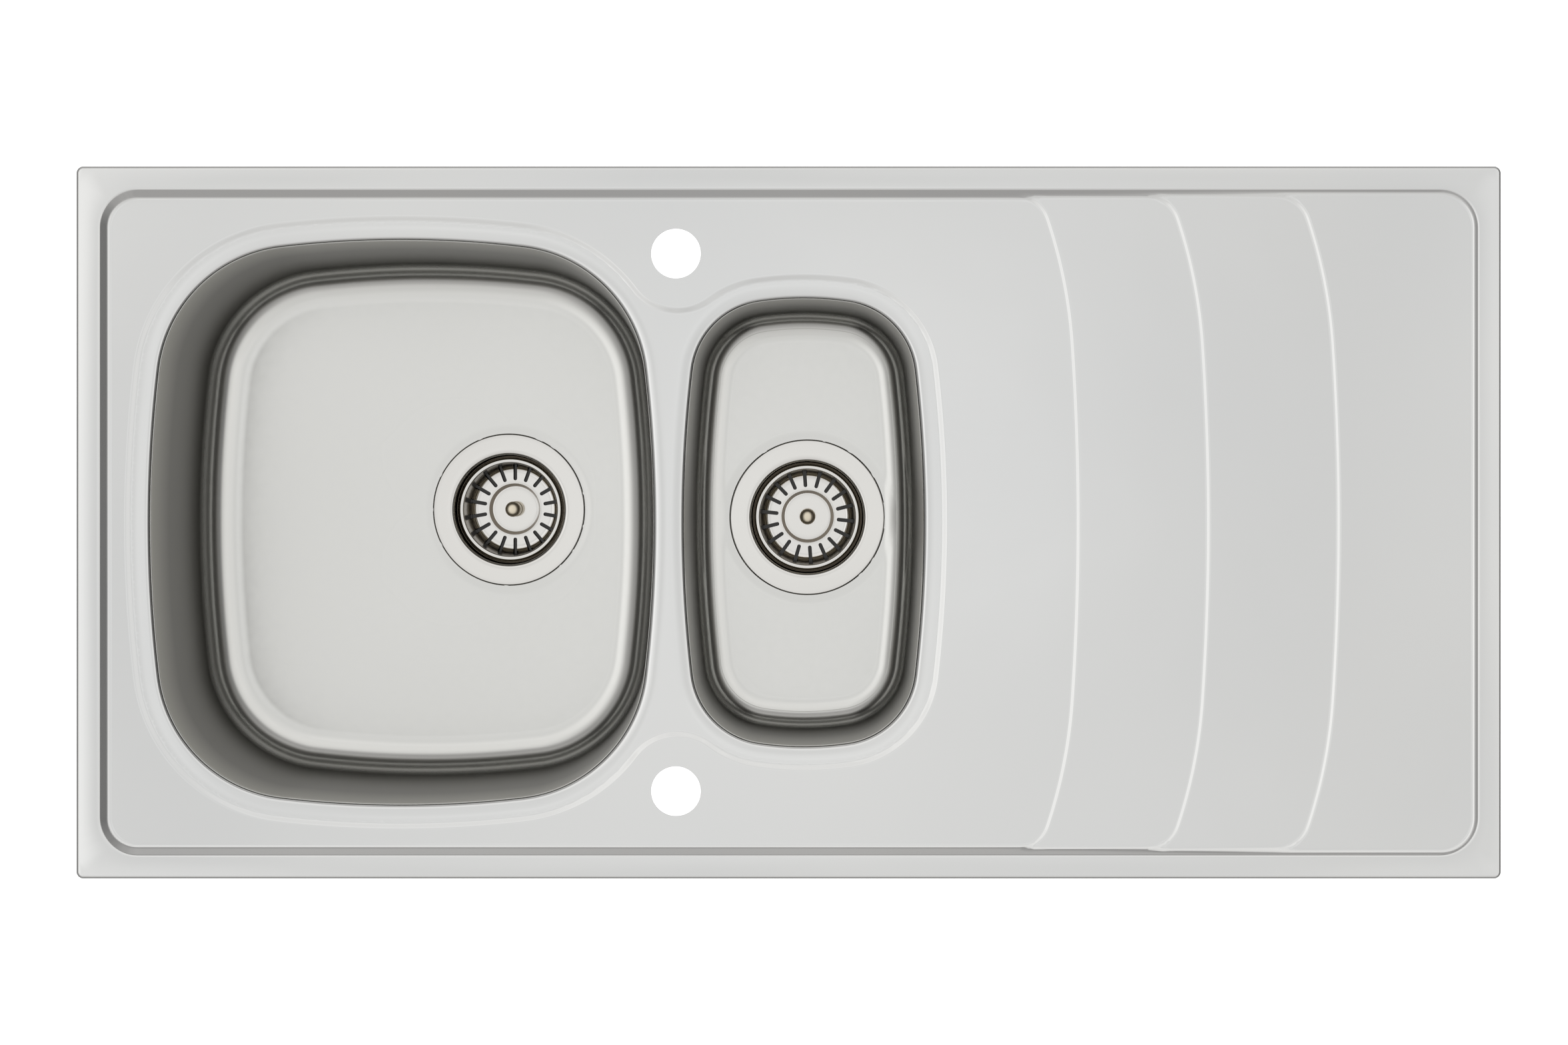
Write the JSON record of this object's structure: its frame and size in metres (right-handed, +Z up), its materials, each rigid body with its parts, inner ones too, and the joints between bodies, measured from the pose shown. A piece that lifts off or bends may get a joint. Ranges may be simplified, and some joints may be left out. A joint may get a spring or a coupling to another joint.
{
  "type": "inset kitchen sink",
  "caption": "Pressed stainless steel inset sink with a main bowl, a half bowl, basket strainer wastes and a stepped drainer.",
  "frame": {"origin": "centre of the sink in plan, on the worktop's top face, where the rim seal rests", "axes": "+X along the sink towards the drainer, +Y to the rear, +Z up"},
  "size_m": [1, 0.5, 0.253],
  "materials": {
    "brushed_steel_deck": "fine linear brushed stainless steel",
    "satin_steel_bowl": "satin drawn stainless steel",
    "polished_steel": "bright polished stainless steel",
    "plain_steel": "mill finish stainless steel",
    "satin_nickel": "satin nickel plating",
    "zinc_steel": "bright zinc plated steel",
    "black_foam": "closed cell foam strip",
    "black_rubber": "moulded rubber",
    "white_seal": "white polyethylene foam ring",
    "white_plastic": "moulded white polypropylene",
    "bitumen_pad": "self adhesive damping pad"
  },
  "bodies": {
    "sink": {"deck": "brushed_steel_deck", "rim_seal": "black_foam", "clip_bridges": "plain_steel", "main_bowl": "satin_steel_bowl", "main_sound_pad": "bitumen_pad", "main_waste_flange": "polished_steel", "main_flange_seal": "white_seal", "main_body_seal": "black_rubber", "main_waste_body": "white_plastic", "main_clamp_screw": "plain_steel", "half_bowl": "satin_steel_bowl", "half_sound_pad": "bitumen_pad", "half_waste_flange": "polished_steel", "half_flange_seal": "white_seal", "half_body_seal": "black_rubber", "half_waste_body": "white_plastic", "half_clamp_screw": "plain_steel"},
    "main_strainer": {"main_basket": "polished_steel", "main_basket_knob": "satin_nickel", "main_basket_nut": "plain_steel", "main_basket_seal": "black_rubber"},
    "half_strainer": {"half_basket": "polished_steel", "half_basket_knob": "satin_nickel", "half_basket_nut": "plain_steel", "half_basket_seal": "black_rubber"},
    "clip_1_carriage": {"clip_1_washer": "zinc_steel"},
    "clip_1_screw": {"clip_1_screw": "zinc_steel"},
    "clip_1_claw": {"clip_1_claw": "zinc_steel"},
    "clip_2_carriage": {"clip_2_washer": "zinc_steel"},
    "clip_2_screw": {"clip_2_screw": "zinc_steel"},
    "clip_2_claw": {"clip_2_claw": "zinc_steel"},
    "clip_3_carriage": {"clip_3_washer": "zinc_steel"},
    "clip_3_screw": {"clip_3_screw": "zinc_steel"},
    "clip_3_claw": {"clip_3_claw": "zinc_steel"},
    "clip_4_carriage": {"clip_4_washer": "zinc_steel"},
    "clip_4_screw": {"clip_4_screw": "zinc_steel"},
    "clip_4_claw": {"clip_4_claw": "zinc_steel"},
    "clip_5_carriage": {"clip_5_washer": "zinc_steel"},
    "clip_5_screw": {"clip_5_screw": "zinc_steel"},
    "clip_5_claw": {"clip_5_claw": "zinc_steel"},
    "clip_6_carriage": {"clip_6_washer": "zinc_steel"},
    "clip_6_screw": {"clip_6_screw": "zinc_steel"},
    "clip_6_claw": {"clip_6_claw": "zinc_steel"},
    "clip_7_carriage": {"clip_7_washer": "zinc_steel"},
    "clip_7_screw": {"clip_7_screw": "zinc_steel"},
    "clip_7_claw": {"clip_7_claw": "zinc_steel"},
    "clip_8_carriage": {"clip_8_washer": "zinc_steel"},
    "clip_8_screw": {"clip_8_screw": "zinc_steel"},
    "clip_8_claw": {"clip_8_claw": "zinc_steel"}
  },
  "joints": [
    {"name": "main_strainer_lift", "type": "slide", "parent": "sink", "child": "main_strainer", "axis": [0, 0, 1], "range_m": [0, 0.24]},
    {"name": "half_strainer_lift", "type": "slide", "parent": "sink", "child": "half_strainer", "axis": [0, 0, 1], "range_m": [0, 0.19]},
    {"name": "clip_1_travel", "type": "slide", "parent": "sink", "child": "clip_1_carriage", "axis": [0, 0, 1], "range_m": [0, 0.016]},
    {"name": "clip_1_turn", "type": "hinge", "parent": "clip_1_carriage", "child": "clip_1_screw", "pos_m": [-0.4, 0.2218, -0.05], "axis": [0, 0, 1], "range_deg": [0, 5760]},
    {"name": "clip_1_swing", "type": "hinge", "parent": "clip_1_carriage", "child": "clip_1_claw", "pos_m": [-0.4, 0.2218, -0.05], "axis": [0, 0, 1], "range_deg": [0, 90]},
    {"name": "clip_2_travel", "type": "slide", "parent": "sink", "child": "clip_2_carriage", "axis": [0, 0, 1], "range_m": [0, 0.016]},
    {"name": "clip_2_turn", "type": "hinge", "parent": "clip_2_carriage", "child": "clip_2_screw", "pos_m": [0.02, 0.2218, -0.05], "axis": [0, 0, 1], "range_deg": [0, 5760]},
    {"name": "clip_2_swing", "type": "hinge", "parent": "clip_2_carriage", "child": "clip_2_claw", "pos_m": [0.02, 0.2218, -0.05], "axis": [0, 0, 1], "range_deg": [0, 90]},
    {"name": "clip_3_travel", "type": "slide", "parent": "sink", "child": "clip_3_carriage", "axis": [0, 0, 1], "range_m": [0, 0.016]},
    {"name": "clip_3_turn", "type": "hinge", "parent": "clip_3_carriage", "child": "clip_3_screw", "pos_m": [0.4, 0.2218, -0.05], "axis": [0, 0, 1], "range_deg": [0, 5760]},
    {"name": "clip_3_swing", "type": "hinge", "parent": "clip_3_carriage", "child": "clip_3_claw", "pos_m": [0.4, 0.2218, -0.05], "axis": [0, 0, 1], "range_deg": [0, 90]},
    {"name": "clip_4_travel", "type": "slide", "parent": "sink", "child": "clip_4_carriage", "axis": [0, 0, 1], "range_m": [0, 0.016]},
    {"name": "clip_4_turn", "type": "hinge", "parent": "clip_4_carriage", "child": "clip_4_screw", "pos_m": [-0.4, -0.2218, -0.05], "axis": [0, 0, 1], "range_deg": [0, 5760]},
    {"name": "clip_4_swing", "type": "hinge", "parent": "clip_4_carriage", "child": "clip_4_claw", "pos_m": [-0.4, -0.2218, -0.05], "axis": [0, 0, 1], "range_deg": [0, 90]},
    {"name": "clip_5_travel", "type": "slide", "parent": "sink", "child": "clip_5_carriage", "axis": [0, 0, 1], "range_m": [0, 0.016]},
    {"name": "clip_5_turn", "type": "hinge", "parent": "clip_5_carriage", "child": "clip_5_screw", "pos_m": [0.02, -0.2218, -0.05], "axis": [0, 0, 1], "range_deg": [0, 5760]},
    {"name": "clip_5_swing", "type": "hinge", "parent": "clip_5_carriage", "child": "clip_5_claw", "pos_m": [0.02, -0.2218, -0.05], "axis": [0, 0, 1], "range_deg": [0, 90]},
    {"name": "clip_6_travel", "type": "slide", "parent": "sink", "child": "clip_6_carriage", "axis": [0, 0, 1], "range_m": [0, 0.016]},
    {"name": "clip_6_turn", "type": "hinge", "parent": "clip_6_carriage", "child": "clip_6_screw", "pos_m": [0.4, -0.2218, -0.05], "axis": [0, 0, 1], "range_deg": [0, 5760]},
    {"name": "clip_6_swing", "type": "hinge", "parent": "clip_6_carriage", "child": "clip_6_claw", "pos_m": [0.4, -0.2218, -0.05], "axis": [0, 0, 1], "range_deg": [0, 90]},
    {"name": "clip_7_travel", "type": "slide", "parent": "sink", "child": "clip_7_carriage", "axis": [0, 0, 1], "range_m": [0, 0.016]},
    {"name": "clip_7_turn", "type": "hinge", "parent": "clip_7_carriage", "child": "clip_7_screw", "pos_m": [-0.4718, 0, -0.05], "axis": [0, 0, 1], "range_deg": [0, 5760]},
    {"name": "clip_7_swing", "type": "hinge", "parent": "clip_7_carriage", "child": "clip_7_claw", "pos_m": [-0.4718, 0, -0.05], "axis": [0, 0, 1], "range_deg": [0, 90]},
    {"name": "clip_8_travel", "type": "slide", "parent": "sink", "child": "clip_8_carriage", "axis": [0, 0, 1], "range_m": [0, 0.016]},
    {"name": "clip_8_turn", "type": "hinge", "parent": "clip_8_carriage", "child": "clip_8_screw", "pos_m": [0.4718, 0, -0.05], "axis": [0, 0, 1], "range_deg": [0, 5760]},
    {"name": "clip_8_swing", "type": "hinge", "parent": "clip_8_carriage", "child": "clip_8_claw", "pos_m": [0.4718, 0, -0.05], "axis": [0, 0, 1], "range_deg": [0, 90]}
  ],
  "couplings": [
    {"joint": "clip_1_turn", "follows": "clip_1_travel", "rad_per_m": 6283.2},
    {"joint": "clip_2_turn", "follows": "clip_2_travel", "rad_per_m": 6283.2},
    {"joint": "clip_3_turn", "follows": "clip_3_travel", "rad_per_m": 6283.2},
    {"joint": "clip_4_turn", "follows": "clip_4_travel", "rad_per_m": 6283.2},
    {"joint": "clip_5_turn", "follows": "clip_5_travel", "rad_per_m": 6283.2},
    {"joint": "clip_6_turn", "follows": "clip_6_travel", "rad_per_m": 6283.2},
    {"joint": "clip_7_turn", "follows": "clip_7_travel", "rad_per_m": 6283.2},
    {"joint": "clip_8_turn", "follows": "clip_8_travel", "rad_per_m": 6283.2}
  ]
}
